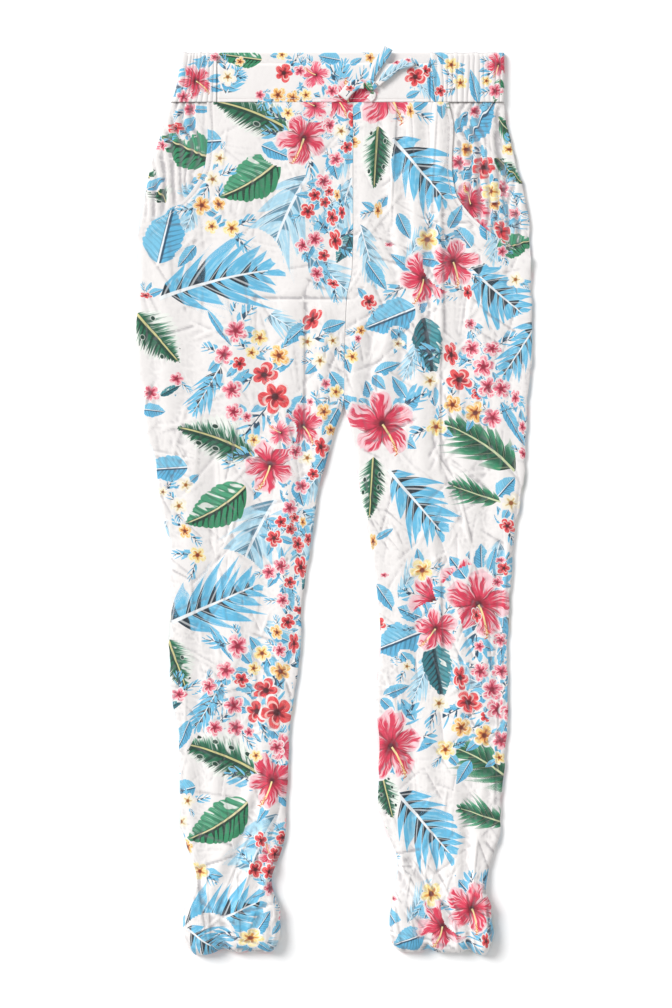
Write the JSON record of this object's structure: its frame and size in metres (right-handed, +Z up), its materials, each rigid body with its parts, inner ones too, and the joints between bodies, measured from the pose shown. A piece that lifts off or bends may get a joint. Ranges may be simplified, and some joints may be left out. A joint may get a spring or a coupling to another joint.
{
  "type": "capri trousers",
  "caption": "Cropped elastic-waist trousers of crinkled floral cloth, laid flat, with slanted side pockets, a self-cloth tie and gathered hems.",
  "frame": {"origin": "centre of the laid-out garment's outline, on the surface that it lies on", "axes": "+Y toward the waist, +X toward the wearer's left leg, +Z up out of the front"},
  "size_m": [0.3968, 0.9079, 0.0206],
  "materials": {
    "printed_cloth": "thin crinkled viscose, off-white ground with a tropical print of blue and green leaves and red, pink and yellow flowers"
  },
  "bodies": {
    "root": {"front_right": "printed_cloth", "front_left": "printed_cloth", "back_right": "printed_cloth", "back_left": "printed_cloth", "band_front": "printed_cloth", "band_back": "printed_cloth", "pocket_right": "printed_cloth", "pocket_left": "printed_cloth", "hem_turn_right": "printed_cloth", "hem_turn_left": "printed_cloth", "tie_knot": "printed_cloth", "tie_loop_left": "printed_cloth", "tie_loop_right": "printed_cloth", "tie_end_up": "printed_cloth", "tie_end_down": "printed_cloth"}
  },
  "joints": []
}
